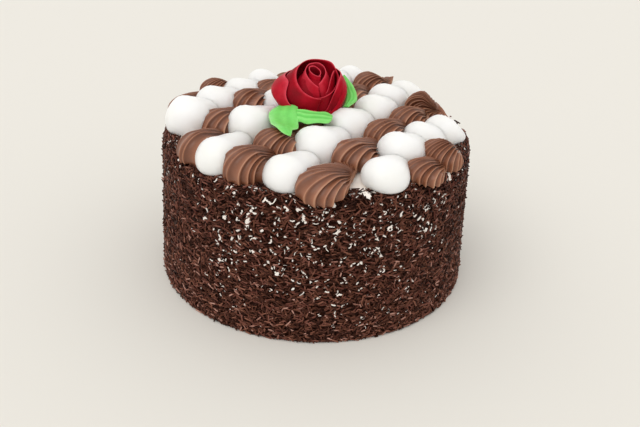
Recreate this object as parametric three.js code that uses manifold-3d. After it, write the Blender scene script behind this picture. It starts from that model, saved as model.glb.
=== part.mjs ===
// A round iced layer cake: chocolate sprinkles over its whole side, rows of piped shells on top in
// white and chocolate buttercream, and a red piped rose with three green leaves.
// Millimetres, +Z up. The origin is the centre of the base, and -Y is the front.
import * as THREE from "three";
import { mergeVertices } from "three/addons/utils/BufferGeometryUtils.js";
import Module from "manifold-3d";

const degrees = THREE.MathUtils.degToRad;

// Clearance between pieces that touch
const GAP = 0.3;

// Cake body under the sprinkles
const RIM_HEIGHT = 103;
const BASE_RADIUS = 108.5;
const TOP_RADIUS = 105.5;
const RIM_ROUND = 3;
const BODY_SIDES = 48;

// Sprinkles fused to the side
const SPRINKLE_COUNT = 92;
const SPRINKLE_THICKNESS = 1.6;
const SPRINKLE_SHORTEST = 5;
const SPRINKLE_LONGEST = 9;
const SPRINKLE_STEEPEST = degrees(60);
const SPRINKLE_SEED = 20;

// Piped shells: a round head, and a tail that the next head covers
const WHITE_SHELL = { radius: 15, height: 18.5, rays: 8, ridgeDepth: 0 };
const CHOCOLATE_SHELL = { radius: 14.5, height: 17.5, rays: 10, ridgeDepth: 1.4 };
const TAIL_PAST_NEXT_HEAD = 4;
const FREE_TAIL = 19.5;
const TAIL_FALL = 1.2;
const EDGE_SHARE = 0.3;
const FOOT_SHARE = 0.86;
const RAY_STEPS = [0.4, 0.68, 0.89, 1];

// Rows of shells from left to right, heading from the front left to the back right. Each runs from
// its first head to its last, as distances along and across the heading, on a line that bows
// sideways. Ease shortens the pitch towards the back, and size scales the first and last head.
const ROW_HEADING = degrees(62);
const ROWS = [
  { name: "a", heads: 2, from: [-27, -89], to: [12, -95], bow: 0, ease: 0, size: [0.84, 0.84] },
  { name: "b", heads: 4, from: [-50, -71], to: [45, -71], bow: -2.5, ease: 0.15, size: [1.12, 0.92] },
  { name: "c", heads: 5, from: [-83, -40], to: [60, -60], bow: -3, ease: 0.15, size: [0.96, 0.9] },
  { name: "d", heads: 6, from: [-88, -22], to: [90, -22], bow: -12, ease: 0.55, size: [1.08, 0.9] },
  { name: "e", heads: 6, from: [-88, 0], to: [82, 0], bow: 0, ease: 0, size: [1.08, 0.9] },
  { name: "f", heads: 6, from: [-84, 26], to: [88, 26], bow: -3, ease: 0.45, size: [1.07, 0.9] },
  { name: "g", heads: 5, from: [-83, 49], to: [64, 49], bow: -1, ease: 0.28, size: [1.1, 0.92] },
  { name: "h", heads: 4, from: [-51, 76], to: [36, 79], bow: -7, ease: 0.37, size: [1.06, 0.94] },
  { name: "i", heads: 2, from: [-31, 94], to: [-5, 94], bow: 0, ease: 0, size: [0.86, 0.95] },
];

// Rose: a stump that sits between the shells, and petals that wrap round it, from the rolled bud out
// to the open outer ones. Heights are over the rim of the cake, and angles are in degrees in plan.
const ROSE_CENTRE = [-6, 3];
const ROSE_FOOT = 9;
const ROSE_SIDES = 12;
const ROSE_SEAT_RADIUS = 27;
const ROSE_SEAT_DEPTH = 12;
const STUMP_RADIUS = 14;
const STUMP_PROFILE = [
  [0, ROSE_FOOT],
  [STUMP_RADIUS, ROSE_FOOT],
  [15, 18],
  [12, 28],
  [7, 36],
  [0, 38],
];
const PETAL_ROOT_THICKNESS = 2.6;
const PETAL_RIM_THICKNESS = 1.2;
const PETAL_SWIRL = 0.7;
const PETAL_CURL = 0.8;
const PETAL_CELLS_UP = 2;
const PETAL_CELL_SPAN = 16;
const BUD_SHIFT = [3.4, -1.2];

// Each petal has its tallest point at its azimuth and falls away over its span on both sides. Root
// and rim are its radii at foot and peak.
const PETALS = [
  { azimuth: 115, span: 195, foot: 30, peak: 43.5, drop: 4.5, root: 6, rim: 4.2, bud: true },
  { azimuth: 105, span: 178, foot: 24, peak: 45.5, drop: 12, root: 12.5, rim: 6.8, bud: true, sweep: 0.6 },
  { azimuth: 95, span: 110, foot: 17, peak: 45, drop: 7, root: 16, rim: 12.5, power: 3 },
  { azimuth: 188, span: 108, foot: 15, peak: 43, drop: 17.5, root: 17, rim: 13 },
  { azimuth: 12, span: 76, foot: 15, peak: 39, drop: 13.5, root: 17, rim: 17.5 },
  { azimuth: 142, span: 65, foot: 15, peak: 39, drop: 11, root: 17, rim: 16.5 },
  { azimuth: 45, span: 65, foot: 15, peak: 41.5, drop: 10, root: 17, rim: 16 },
  { azimuth: 180, span: 60, foot: 15, peak: 37, drop: 19, root: 17.5, rim: 17, power: 3 },
  { azimuth: 75, span: 60, foot: 15, peak: 30, drop: 10, root: 16, rim: 20 },
  { azimuth: 125, span: 60, foot: 15, peak: 30, drop: 10, root: 16, rim: 20 },
  { azimuth: 170, span: 52, foot: 15, peak: 33, drop: 14, root: 17, rim: 23, power: 3, bulge: 0.7 },
  { azimuth: 30, span: 90, foot: 15, peak: 33, drop: 15.5, root: 17, rim: 23, power: 3, bulge: 0.8 },
  { azimuth: 255, span: 45, foot: 14, peak: 20.5, drop: 4, root: 17, rim: 18 },
];

// Leaves: their right and left edges from root to tip, over the cake's centre and rim
const LEAF_THICKNESS = 1.6;
const LEAF_REST = 0.6;
const LEAF_BELLY = 1.2;
const LEAF_CELLS_LONG = 8;
const LEAF_CELLS_ACROSS = 4;
const LEAVES = [
  {
    name: "front",
    right: [
      [-27.5, -7.5, 17.5],
      [-31.5, -16, 17.5],
      [-32, -24, 17.8],
      [-29, -42, 19.2],
      [-22.6, -55, 20],
      [-17, -56.6, 17],
    ],
    left: [
      [-13.2, -17.5, 20.3],
      [-12.6, -24, 19.3],
      [-12.2, -31, 17],
      [-12, -38.5, 15.2],
      [-15, -47, 18],
      [-15.8, -56.2, 17],
    ],
  },
  {
    name: "right",
    right: [
      [-10.8, -30, 17],
      [-7.7, -31.5, 16.5],
      [-3.2, -31, 16.8],
      [2, -29.8, 16.4],
      [7.4, -29, 16.4],
      [9.8, -25.5, 17],
    ],
    left: [
      [-11, -17.6, 20.3],
      [-6.2, -18.8, 20.5],
      [0, -17.8, 19.4],
      [5.6, -16.4, 18.6],
      [9, -17.8, 18],
      [10.2, -20.5, 17.4],
    ],
  },
  {
    name: "back",
    right: [
      [22.5, 0.5, 17.5],
      [26.3, 5, 19],
      [26.5, 9, 22],
      [24.1, 11, 27],
      [20.6, 16.3, 30],
      [17.1, 17.8, 33],
    ],
    left: [
      [17.5, -1.5, 17],
      [18.4, 5, 19.5],
      [18.2, 9.5, 23],
      [17.2, 12.8, 27],
      [16.6, 15.4, 30.4],
      [16.3, 17.4, 32.8],
    ],
  },
];

const wasm = await Module();
wasm.setup();

// Seeded random numbers from 0 to 1
function randomNumbers(seed) {
  let state = seed;
  return () => {
    state = (state + 0x6d2b79f5) | 0;
    let mixed = Math.imul(state ^ (state >>> 15), 1 | state);
    mixed = (mixed + Math.imul(mixed ^ (mixed >>> 7), 61 | mixed)) ^ mixed;
    return ((mixed ^ (mixed >>> 14)) >>> 0) / 4294967296;
  };
}

function mix(start, end, share) {
  return start + (end - start) * share;
}

function geometryFrom(points, triangles) {
  const geometry = new THREE.BufferGeometry();
  geometry.setAttribute("position", new THREE.Float32BufferAttribute(points.flat(), 3));
  geometry.setIndex(triangles.flat());
  return geometry;
}

function toSolid(geometry) {
  const bare = geometry.clone();
  bare.deleteAttribute("normal");
  bare.deleteAttribute("uv");
  const merged = mergeVertices(bare, 1e-4);
  const vertProperties = new Float32Array(merged.attributes.position.array);
  const triVerts = new Uint32Array(merged.index.array);
  return new wasm.Manifold(new wasm.Mesh({ numProp: 3, vertProperties, triVerts }));
}

// The largest body of a solid, without loose scraps or sealed hollows
function toGeometry(solid) {
  const mesh = solid.getMesh();
  const owner = Array.from({ length: mesh.vertProperties.length / 3 }, (_, index) => index);
  const find = (vertex) => {
    let top = vertex;
    while (owner[top] !== top) top = owner[top];
    owner[vertex] = top;
    return top;
  };
  const corners = Array.from(mesh.triVerts);
  for (let i = 0; i < corners.length; i += 3) {
    owner[find(corners[i + 1])] = find(corners[i]);
    owner[find(corners[i + 2])] = find(corners[i]);
  }
  const counts = new Map();
  for (const vertex of corners) counts.set(find(vertex), (counts.get(find(vertex)) ?? 0) + 1);
  const largest = [...counts].sort((a, b) => b[1] - a[1])[0][0];
  const kept = corners.filter((vertex) => find(vertex) === largest);
  const geometry = new THREE.BufferGeometry();
  const positions = new Float32Array(mesh.vertProperties);
  geometry.setAttribute("position", new THREE.BufferAttribute(positions, 3));
  geometry.setIndex(kept);
  return geometry;
}

function namedMesh(name, geometry, color, roughness) {
  const material = new THREE.MeshStandardMaterial({ color, roughness, metalness: 0 });
  const mesh = new THREE.Mesh(geometry, material);
  mesh.name = name;
  return mesh;
}

// A thin closed solid from a grid of front and back points, both faces split alike
function sheetGeometry(cellsAcross, cellsUp, pointsAt) {
  const points = [];
  for (let up = 0; up <= cellsUp; up++) {
    for (let across = 0; across <= cellsAcross; across++) {
      points.push(...pointsAt((2 * across) / cellsAcross - 1, up / cellsUp));
    }
  }
  const front = (across, up) => 2 * (up * (cellsAcross + 1) + across);
  const back = (across, up) => front(across, up) + 1;
  const triangles = [];
  const quad = (a, b, c, d) => triangles.push([a, b, c], [a, c, d]);
  for (let up = 0; up < cellsUp; up++) {
    for (let across = 0; across < cellsAcross; across++) {
      quad(front(across, up), front(across + 1, up), front(across + 1, up + 1), front(across, up + 1));
      quad(back(across, up), back(across, up + 1), back(across + 1, up + 1), back(across + 1, up));
    }
    quad(back(0, up), front(0, up), front(0, up + 1), back(0, up + 1));
    const end = cellsAcross;
    quad(front(end, up), back(end, up), back(end, up + 1), front(end, up + 1));
  }
  for (let across = 0; across < cellsAcross; across++) {
    quad(back(across, 0), back(across + 1, 0), front(across + 1, 0), front(across, 0));
    const top = cellsUp;
    quad(front(across, top), front(across + 1, top), back(across + 1, top), back(across, top));
  }
  return geometryFrom(points, triangles);
}

// The iced cake: a tapered drum with a rounded rim
function drumGeometry() {
  const profile = [
    new THREE.Vector2(0, 0),
    new THREE.Vector2(BASE_RADIUS, 0),
    new THREE.Vector2(TOP_RADIUS, RIM_HEIGHT - RIM_ROUND),
    new THREE.Vector2(TOP_RADIUS - RIM_ROUND * 0.3, RIM_HEIGHT - RIM_ROUND * 0.3),
    new THREE.Vector2(TOP_RADIUS - RIM_ROUND, RIM_HEIGHT),
    new THREE.Vector2(0, RIM_HEIGHT),
  ];
  const drum = new THREE.LatheGeometry(profile, BODY_SIDES);
  drum.rotateX(Math.PI / 2);
  return drum;
}

function wallRadius(z) {
  const middleOfFacet = Math.cos(Math.PI / BODY_SIDES / 2);
  return mix(BASE_RADIUS, TOP_RADIUS, z / (RIM_HEIGHT - RIM_ROUND)) * middleOfFacet;
}

// One sprinkle lying along the wall, half sunk into it, with an edge of its square rod outwards
function sprinkleGeometry(angle, z, tilt, length) {
  const side = SPRINKLE_THICKNESS / Math.SQRT2;
  const rod = new THREE.BoxGeometry(side, length, side);
  rod.rotateY(Math.PI / 4);
  rod.rotateX(tilt);
  rod.translate(wallRadius(z), 0, 0);
  rod.rotateZ(angle);
  rod.translate(0, 0, z);
  return rod;
}

function cakeMesh() {
  const random = randomNumbers(SPRINKLE_SEED);
  const goldenTurn = Math.PI * (Math.sqrt(5) - 1);
  let solid = toSolid(drumGeometry());
  for (let i = 0; i < SPRINKLE_COUNT; i++) {
    const length = mix(SPRINKLE_SHORTEST, SPRINKLE_LONGEST, random());
    const tilt = SPRINKLE_STEEPEST * (2 * random() - 1);
    const reach = (length * Math.sin(Math.abs(tilt)) + SPRINKLE_THICKNESS) / 2 + GAP;
    const z = mix(reach, RIM_HEIGHT - RIM_ROUND - reach, (i + random()) / SPRINKLE_COUNT);
    solid = solid.add(toSolid(sprinkleGeometry(goldenTurn * i, z, tilt, length)));
  }
  return namedMesh("iced_cake", toGeometry(solid), 0x3b2620, 0.6);
}

// One shell's place, size and heading, from its row and its number in it
function planShell(row, rowIndex, index) {
  const share = index / (row.heads - 1);
  const eased = share * (1 + row.ease) - row.ease * share * share;
  const white = rowIndex % 2 === 1;
  const kind = white ? WHITE_SHELL : CHOCOLATE_SHELL;
  const size = mix(row.size[0], row.size[1], share);
  return {
    ...kind,
    name: `${white ? "white" : "chocolate"}_shell_${row.name}${index + 1}`,
    white,
    rowIndex,
    index,
    radius: kind.radius * size,
    height: kind.height * size,
    along: mix(row.from[0], row.to[0], eased),
    aside: mix(row.from[1], row.to[1], eased) + 4 * row.bow * eased * (1 - eased),
  };
}

// Every shell, row by row from the left, each pointing its tail at the next head of its row
function planShells() {
  return ROWS.flatMap((row, rowIndex) => {
    const shells = Array.from({ length: row.heads }, (_, index) => planShell(row, rowIndex, index));
    shells.forEach((shell, index) => {
      const ahead = index + 1 < shells.length ? shells[index + 1] : shell;
      const behind = index + 1 < shells.length ? shell : shells[index - 1];
      const turn = Math.atan2(behind.aside - ahead.aside, ahead.along - behind.along);
      const pitch = Math.hypot(ahead.along - shell.along, ahead.aside - shell.aside);
      shell.heading = ROW_HEADING + turn;
      shell.tail = ahead === shell ? FREE_TAIL : pitch + TAIL_PAST_NEXT_HEAD;
      shell.x = shell.along * Math.cos(ROW_HEADING) + shell.aside * Math.sin(ROW_HEADING);
      shell.y = shell.along * Math.sin(ROW_HEADING) - shell.aside * Math.cos(ROW_HEADING);
    });
    return shells;
  });
}

// Half the width of a shell's plan at a distance along it: a round head and a straight taper
function halfWidth({ radius, tail }, x) {
  const tangent = (radius * radius) / tail;
  if (x < tangent) return Math.sqrt(Math.max(0, radius * radius - x * x));
  return ((tail - x) * radius) / Math.sqrt(tail * tail - radius * radius);
}

// Height of a shell over its foot at a point of its plan
function domeHeight(shell, x, y) {
  const { radius, tail, height } = shell;
  const taper = x > 0 ? 1 - x / tail : 1;
  const crest = x > 0 ? 1 - (x / tail) ** TAIL_FALL : Math.sqrt(Math.max(0, 1 - (x / radius) ** 2));
  const side = Math.min(1, Math.abs(y) / Math.max(halfWidth(shell, x), 1e-6));
  return height * mix(crest * Math.sqrt(1 - side * side), taper, EDGE_SHARE);
}

// One piped shell in its own axes: head over the origin, tail along +X, rays fanning from the tail.
// Grown by a clearance, it is the tool that makes room for the shell in its neighbours.
function shellGeometry(shell, grow = 0) {
  const { radius, tail, rays, ridgeDepth } = shell;
  const widest = Math.PI - Math.acos(radius / tail);
  const wider = 1 + grow / (radius * FOOT_SHARE);
  const points = [[tail * wider, 0, -grow]];
  const steps = RAY_STEPS.length;
  const at = (ray, step) => 1 + ray * (steps + 1) + step;
  for (let ray = 0; ray <= rays; ray++) {
    const bearing = widest * ((2 * ray) / rays - 1);
    const ridge = ray % 2 === 1 ? ridgeDepth / radius : 0;
    const endX = -radius * Math.cos(bearing);
    const endY = radius * Math.sin(bearing);
    for (const step of RAY_STEPS) {
      const x = mix(tail, endX, step);
      const y = endY * step;
      const swell = 1 + ridge * step;
      points.push([x * swell * wider, y * swell * wider, domeHeight(shell, x, y) * swell + grow]);
    }
    points.push([endX * FOOT_SHARE * wider, endY * FOOT_SHARE * wider, -grow]);
  }
  const triangles = [];
  for (let ray = 0; ray < rays; ray++) {
    triangles.push([0, at(ray + 1, 0), at(ray, 0)]);
    for (let step = 0; step < steps; step++) {
      triangles.push([at(ray, step), at(ray + 1, step + 1), at(ray, step + 1)]);
      triangles.push([at(ray, step), at(ray + 1, step), at(ray + 1, step + 1)]);
    }
    triangles.push([0, at(ray, steps), at(ray + 1, steps)]);
  }
  for (let step = 0; step < steps - 1; step++) {
    triangles.push([at(0, steps), at(0, step), at(0, step + 1)]);
    triangles.push([at(rays, steps), at(rays, step + 1), at(rays, step)]);
  }
  triangles.push([0, at(0, 0), at(0, steps)]);
  triangles.push([0, at(rays, steps), at(rays, 0)]);
  return geometryFrom(points, triangles);
}

function shellSolid(shell, grow = 0) {
  const geometry = shellGeometry(shell, grow);
  geometry.rotateZ(shell.heading);
  geometry.translate(shell.x, shell.y, RIM_HEIGHT + GAP);
  return toSolid(geometry);
}

// Highest point of the shells over the rim at a place in plan, which the leaves rest on
function shellTop(shells, x, y) {
  let top = 0;
  for (const shell of shells) {
    const place = new THREE.Vector2(x - shell.x, y - shell.y);
    place.rotateAround(new THREE.Vector2(), -shell.heading);
    if (place.x > shell.tail || Math.abs(place.y) > halfWidth(shell, place.x)) continue;
    top = Math.max(top, GAP + domeHeight(shell, place.x, place.y) + shell.ridgeDepth);
  }
  return top;
}

// The next head covers a shell's tail, and white shells lie over the flanks of chocolate ones
function liesOver(upper, lower) {
  if (upper.rowIndex === lower.rowIndex) return upper.index > lower.index;
  return upper.white && !lower.white && Math.abs(upper.rowIndex - lower.rowIndex) === 1;
}

function near(one, other) {
  return Math.hypot(one.x - other.x, one.y - other.y) < one.tail + other.tail;
}

// The room that the rose's stump and its outer petals take between the shells
function roseSeat() {
  const floor = STUMP_RADIUS + GAP;
  const cone = new THREE.CylinderGeometry(ROSE_SEAT_RADIUS, floor, ROSE_SEAT_DEPTH, ROSE_SIDES);
  cone.rotateX(Math.PI / 2);
  cone.translate(...ROSE_CENTRE, RIM_HEIGHT + ROSE_FOOT - GAP + ROSE_SEAT_DEPTH / 2);
  return toSolid(cone);
}

function shellMeshes(shells) {
  const seat = roseSeat();
  return shells.map((shell) => {
    let solid = shellSolid(shell);
    for (const other of shells) {
      if (near(shell, other) && liesOver(other, shell)) solid = solid.subtract(shellSolid(other, GAP));
    }
    const geometry = toGeometry(solid.subtract(seat));
    return namedMesh(shell.name, geometry, shell.white ? 0xf6f4ec : 0x7d5442, 0.5);
  });
}

// How far a petal's rim has fallen, from 0 at its peak to 1 at the ends of its span
function petalFall(across, power, sweep) {
  const quarter = (Math.PI / 2) * sweep;
  return (Math.sin(quarter * Math.abs(across)) / Math.sin(quarter)) ** power;
}

// One petal, wrapped round the rose's axis, with a thin rim that curls outwards
function petalGeometry(petal) {
  const { azimuth, span, foot, peak, drop, root, rim } = petal;
  const { power = 2, sweep = 1, bulge = 1, bud = false } = petal;
  const cellsAcross = Math.round(span / PETAL_CELL_SPAN);
  const geometry = sheetGeometry(cellsAcross, PETAL_CELLS_UP, (across, up) => {
    const angle = degrees(azimuth + span * across);
    const top = peak - drop * petalFall(across, power, sweep);
    const z = mix(foot, top, up);
    const rise = (z - foot) / (peak - foot);
    const middle = mix(root, rim, rise ** bulge) + PETAL_CURL * up ** 8 + PETAL_SWIRL * across;
    const half = mix(PETAL_ROOT_THICKNESS, PETAL_RIM_THICKNESS, up) / 2;
    return [middle + half, middle - half].map((r) => [r * Math.cos(angle), r * Math.sin(angle), z]);
  });
  if (bud) geometry.translate(...BUD_SHIFT, 0);
  return geometry;
}

function roseMesh() {
  const profile = STUMP_PROFILE.map(([radius, z]) => new THREE.Vector2(radius, z));
  const stump = new THREE.LatheGeometry(profile, ROSE_SIDES);
  stump.rotateX(Math.PI / 2);
  let solid = toSolid(stump);
  for (const petal of PETALS) solid = solid.add(toSolid(petalGeometry(petal)));
  const geometry = toGeometry(solid);
  geometry.translate(...ROSE_CENTRE, RIM_HEIGHT);
  return namedMesh("rose", geometry, 0xa01020, 0.45);
}

function leafEdge(places) {
  const corners = places.map((place) => new THREE.Vector3(...place));
  return new THREE.CatmullRomCurve3(corners, false, "catmullrom");
}

// One leaf between its two edges, bellied upwards, resting on the shells under it
function leafMesh(leaf, shells) {
  const [left, right] = [leafEdge(leaf.left), leafEdge(leaf.right)];
  const geometry = sheetGeometry(LEAF_CELLS_ACROSS, LEAF_CELLS_LONG, (across, up) => {
    const share = (across + 1) / 2;
    const side = right.getPoint(up).sub(left.getPoint(up));
    const ahead = left.getTangent(up).lerp(right.getTangent(up), share);
    const normal = new THREE.Vector3().crossVectors(side, ahead).normalize();
    const centre = left.getPoint(up).addScaledVector(side, share);
    centre.addScaledVector(normal, LEAF_BELLY * (1 - across * across) * (1 - up * up));
    const half = LEAF_THICKNESS / 2;
    centre.z = Math.max(centre.z, shellTop(shells, centre.x, centre.y) + LEAF_REST + half);
    return [half, -half].map((lift) => centre.clone().addScaledVector(normal, lift).toArray());
  });
  geometry.translate(0, 0, RIM_HEIGHT);
  return namedMesh(`leaf_${leaf.name}`, geometry, 0x6cd267, 0.5);
}

const cake = new THREE.Group();
cake.add(cakeMesh());
const shells = planShells();
cake.add(...shellMeshes(shells));
cake.add(roseMesh());
cake.add(...LEAVES.map((leaf) => leafMesh(leaf, shells)));

export default cake;
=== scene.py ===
"""A round iced cake: chocolate sprinkles on its side, piped shells, a rose and its leaves on top.
Shapes are worked out in millimetres and made in metres."""
import math

import bmesh
import bpy
import numpy as np
from mathutils import Matrix, Vector


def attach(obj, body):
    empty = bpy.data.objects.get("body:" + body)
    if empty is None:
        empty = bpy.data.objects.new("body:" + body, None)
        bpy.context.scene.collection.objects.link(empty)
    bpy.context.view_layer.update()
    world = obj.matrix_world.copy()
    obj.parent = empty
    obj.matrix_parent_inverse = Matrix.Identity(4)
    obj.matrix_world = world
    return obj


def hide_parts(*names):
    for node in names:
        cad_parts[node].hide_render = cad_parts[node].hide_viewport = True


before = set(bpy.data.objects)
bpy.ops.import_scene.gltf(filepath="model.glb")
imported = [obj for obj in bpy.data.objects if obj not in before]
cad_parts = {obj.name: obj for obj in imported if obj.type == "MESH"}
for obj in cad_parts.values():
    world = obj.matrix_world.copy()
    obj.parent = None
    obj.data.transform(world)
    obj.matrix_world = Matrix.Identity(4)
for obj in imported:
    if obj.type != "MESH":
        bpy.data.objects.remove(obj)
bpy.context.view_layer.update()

MILLIMETRE = 0.001
RIPPLE_WAVES = 7

# Body of the cake, under its sprinkles: a wall that leans in a little, and a rounded rim
RIM_HEIGHT = 103.0
RIM_ROUND = 7.0
RIM_ARC = RIM_ROUND * math.pi / 2
WALL_HEIGHT = RIM_HEIGHT - RIM_ROUND
ICING_BASE_RADIUS = 107.4
ICING_TOP_RADIUS = 104.4
ICING_COLUMNS = 192
ICING_RIM_TURNS = np.linspace(0.2, math.pi / 2, 7)
ICING_ROWS = np.concatenate([np.linspace(0, WALL_HEIGHT, 26), WALL_HEIGHT + RIM_ROUND * ICING_RIM_TURNS])
WHITE_RIM_DEPTH = 6.0

# Sprinkles, laid in jittered rows up the wall and over the rim: most lie nearly level, some lie
# anyhow, and a few strays stick out
SPRINKLE_SEED = 7
SPRINKLE_ROW_PITCH = 1.6
SPRINKLE_COLUMN_PITCH = 1.75
SPRINKLE_LENGTHS = (2.7, 5.8)
SPRINKLE_RADII = (0.38, 0.54)
SPRINKLE_LEVEL_SPREAD = math.radians(32)
SPRINKLE_ANYHOW_SHARE = 0.36
SPRINKLE_PITCH_SPREAD = 0.14
SPRINKLE_STRAY_SHARE = 0.05
SPRINKLE_STRAY_PITCH = math.radians(38)
SPRINKLE_LIFT = 2.2
SPRINKLE_PITCH_LIFT = 0.25
SPRINKLE_LOWEST = 0.05
SPRINKLE_END = 0.34
SPRINKLE_SIDES = 5
SPRINKLE_PAST_RIM = 2.5
SPRINKLED_LENGTH = WALL_HEIGHT + RIM_ARC + SPRINKLE_PAST_RIM
LOW_SPRINKLES_LIGHTER = 0.2

# Kinds of sprinkles: their share of all, and their darkest, light and lightest colours. The lightest
# colour, reached only by the top tones, is a painted glint on a few sprinkles
SPRINKLE_TONES = (0.0, 0.86, 1.0)
SPRINKLE_KINDS = [
    {"name": "dark", "share": 0.38, "colours": [(31, 11, 6), (71, 40, 30), (90, 56, 45)]},
    {"name": "brown", "share": 0.34, "colours": [(61, 31, 22), (113, 71, 55), (144, 96, 78)]},
    {"name": "red_brown", "share": 0.28, "colours": [(84, 43, 34), (136, 88, 74), (192, 146, 131)]},
]

# A stretch of the rim at the back right where the icing is bare but for a few sprinkles
BARE_RIM_AT = math.radians(30)
BARE_RIM_REACH = math.radians(34)
BARE_RIM_DEPTH = 13.0
BARE_RIM_STRAYS = 0.03

# Places where the icing shows between the sprinkles: where the layer is thin, which it is in
# patches, higher up, and at the front and the back more than at the sides
BARE_SPOT_COUNT = 3100
BARE_SPOT_HEIGHTS = (0.06, 1.0)
BARE_SPOT_RADII = (0.16, 0.62)
BARE_SPOTS_SMALL = 1.6
BARE_PATCH_SEED = 3
BARE_PATCH_LENGTH = 60
BARE_PATCH_WEIGHT = 0.5
BARE_CHANCE_WEIGHT = 0.5
BARE_HEIGHT_WEIGHT = 1.3
BARE_FRONT_WEIGHT = 0.8
BARE_MOST_AT = math.radians(-86)
BARE_FROM = 0.42
BARE_WIDER_UP = (0.9, 1.5)
BARE_WIDER_THIN = (0.75, 0.3)
BARE_WIDER_LIMITS = (0.7, 1.2)

# Each such place is a short bent chain of gaps, narrower from link to link
BARE_LINK = 1.0
BARE_LINK_SHARES = [0.42, 0.3, 0.18, 0.1]
BARE_LINK_BEND = 0.7
BARE_LINK_NARROWS = 0.9
BARE_LINK_LOWEST = 1.0

# A gap is a sliver of icing: what it gains lengthwise and crosswise, how proud its middle and its
# edge stand, how near a sprinkle may come to it, and the luck with which a sprinkle stays over it
BARE_SLIVER = (0.58, 0.08)
BARE_PROUD = (0.95, 0.3)
BARE_CORNERS = 9
BARE_CORNER_JITTER = (0.75, 1.25)
BARE_LOWEST = 0.2
BARE_COVER = (0.75, 0.5)
BARE_COVERED_LUCK = 0.66

# Larger bare marks: bearing and height of their two ends, and half their width
BARE_MARKS = [
    ((-112.4, 76.5), (-111.6, 86), 1.3),
    ((-111.4, 87), (-110.2, 91), 0.7),
    ((-70.8, 102), (-72.6, 108), 2.0),
    ((-34.2, 99), (-35.4, 106), 2.8),
    ((-38.6, 101), (-38.2, 106), 2.0),
]

# Piped shells: a round head, and a tail that runs on past the next head's middle and is covered by it
WHITE_SHELL = {"radius": 15.0, "height": 18.5, "ridge": 0.0, "rays": 100, "past": 20.0, "fall": 0.92}
CHOCOLATE_SHELL = {"radius": 14.5, "height": 17.5, "ridge": 2.4, "rays": 275, "past": 12.0, "fall": 1.2}
SHELL_GAP = 0.3
FREE_TAIL = 19.5
EDGE_SHARE = 0.3
FOOT_SHARE = 0.86
FOOT_BENDS = (0.4, 0.8, 1.2, math.pi / 2)
TIP_RISE_START = -0.8
TIP_RISE_POWER = 1.5
SHELL_STEPS = 20
OUTLINE_HEAD_POINTS = 160
OUTLINE_SIDE_STEPS = 29

# Shells are a little uneven, and sag where they reach out over the rim
SHELL_UNEVEN = 0.012
SHELL_UNEVEN_LENGTH = 19
SHELL_UNEVEN_APART = 50
SAG_FROM_RADIUS = 94
SAG_REACH = 17
SAG_DEPTH = 3.2

# Ridges of the chocolate shells: they twist as they spread, and are deeper on a shell's right
SHELL_CRESTS = 25
CREST_JITTER = 0.25
GROOVE_DEPTHS = (0.5, 1.1)
GROOVE_LEAN = 0.65
RIDGE_TWIST = 0.15
RIDGE_TWIST_POWER = 1.2
RIDGE_DEPTHS = (1.25, 0.55)
RIDGE_LEVEL = 0.55
RIDGE_GROWTH = 0.6
RIDGE_LEFT = 0.7
SPINE_FOLLOWS = 0.8
SPINE_REACH = 0.6
SPINE_HEIGHT = 0.2

# Painted light on the ridges: a painted highlight along each crest, painted shade in the groove right of
# it, evened out on the lit left, and painted shade where the ridges meet
CREST_HIGHLIGHT_LINE = 6
GROOVE_PAINTED_SHADE = 0.5
LIT_LEFT_TONE = 0.42
LIT_LEFT_EVENED = 0.5
MEET_PAINTED_SHADE = 0.3

# Where a shell's ridges meet, as a share of its tail along it and of its radius to its left
RIDGES_MEET = (0.56, -0.38)
RIDGE_MEETS = {"g1": (0.42, -0.55)}

# Shells whose tail differs: how far it is turned aside, in degrees, its length and how far its tip
# is raised
TURNED_TAILS = {"e2": (0, 36, 0), "e6": (-16, 26, 8.5), "g5": (-70, 19, 0)}

# Rows of shells from left to right: first and last head along and across the heading, how far the
# row bows sideways, how its pitch shortens towards the back, and the sizes of its end heads
ROW_HEADING = math.radians(62)
ROW_FIELDS = ("name", "heads", "start", "end", "bow", "ease", "sizes")
ROWS = [
    ("a", 2, (-27, -89), (12, -95), 0, 0, (0.84, 0.84)),
    ("b", 4, (-50, -71), (45, -71), -2.5, 0.15, (1.12, 0.92)),
    ("c", 5, (-83, -40), (60, -60), -3, 0.15, (0.96, 0.9)),
    ("d", 6, (-88, -22), (90, -22), -12, 0.55, (1.08, 0.9)),
    ("e", 6, (-88, 0), (82, 0), 0, 0, (1.08, 0.9)),
    ("f", 6, (-84, 26), (88, 26), -3, 0.45, (1.07, 0.9)),
    ("g", 5, (-83, 49), (64, 49), -1, 0.28, (1.1, 0.92)),
    ("h", 4, (-51, 76), (36, 79), -7, 0.37, (1.06, 0.94)),
    ("i", 2, (-31, 94), (-5, 94), 0, 0, (0.86, 0.95)),
]

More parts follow.
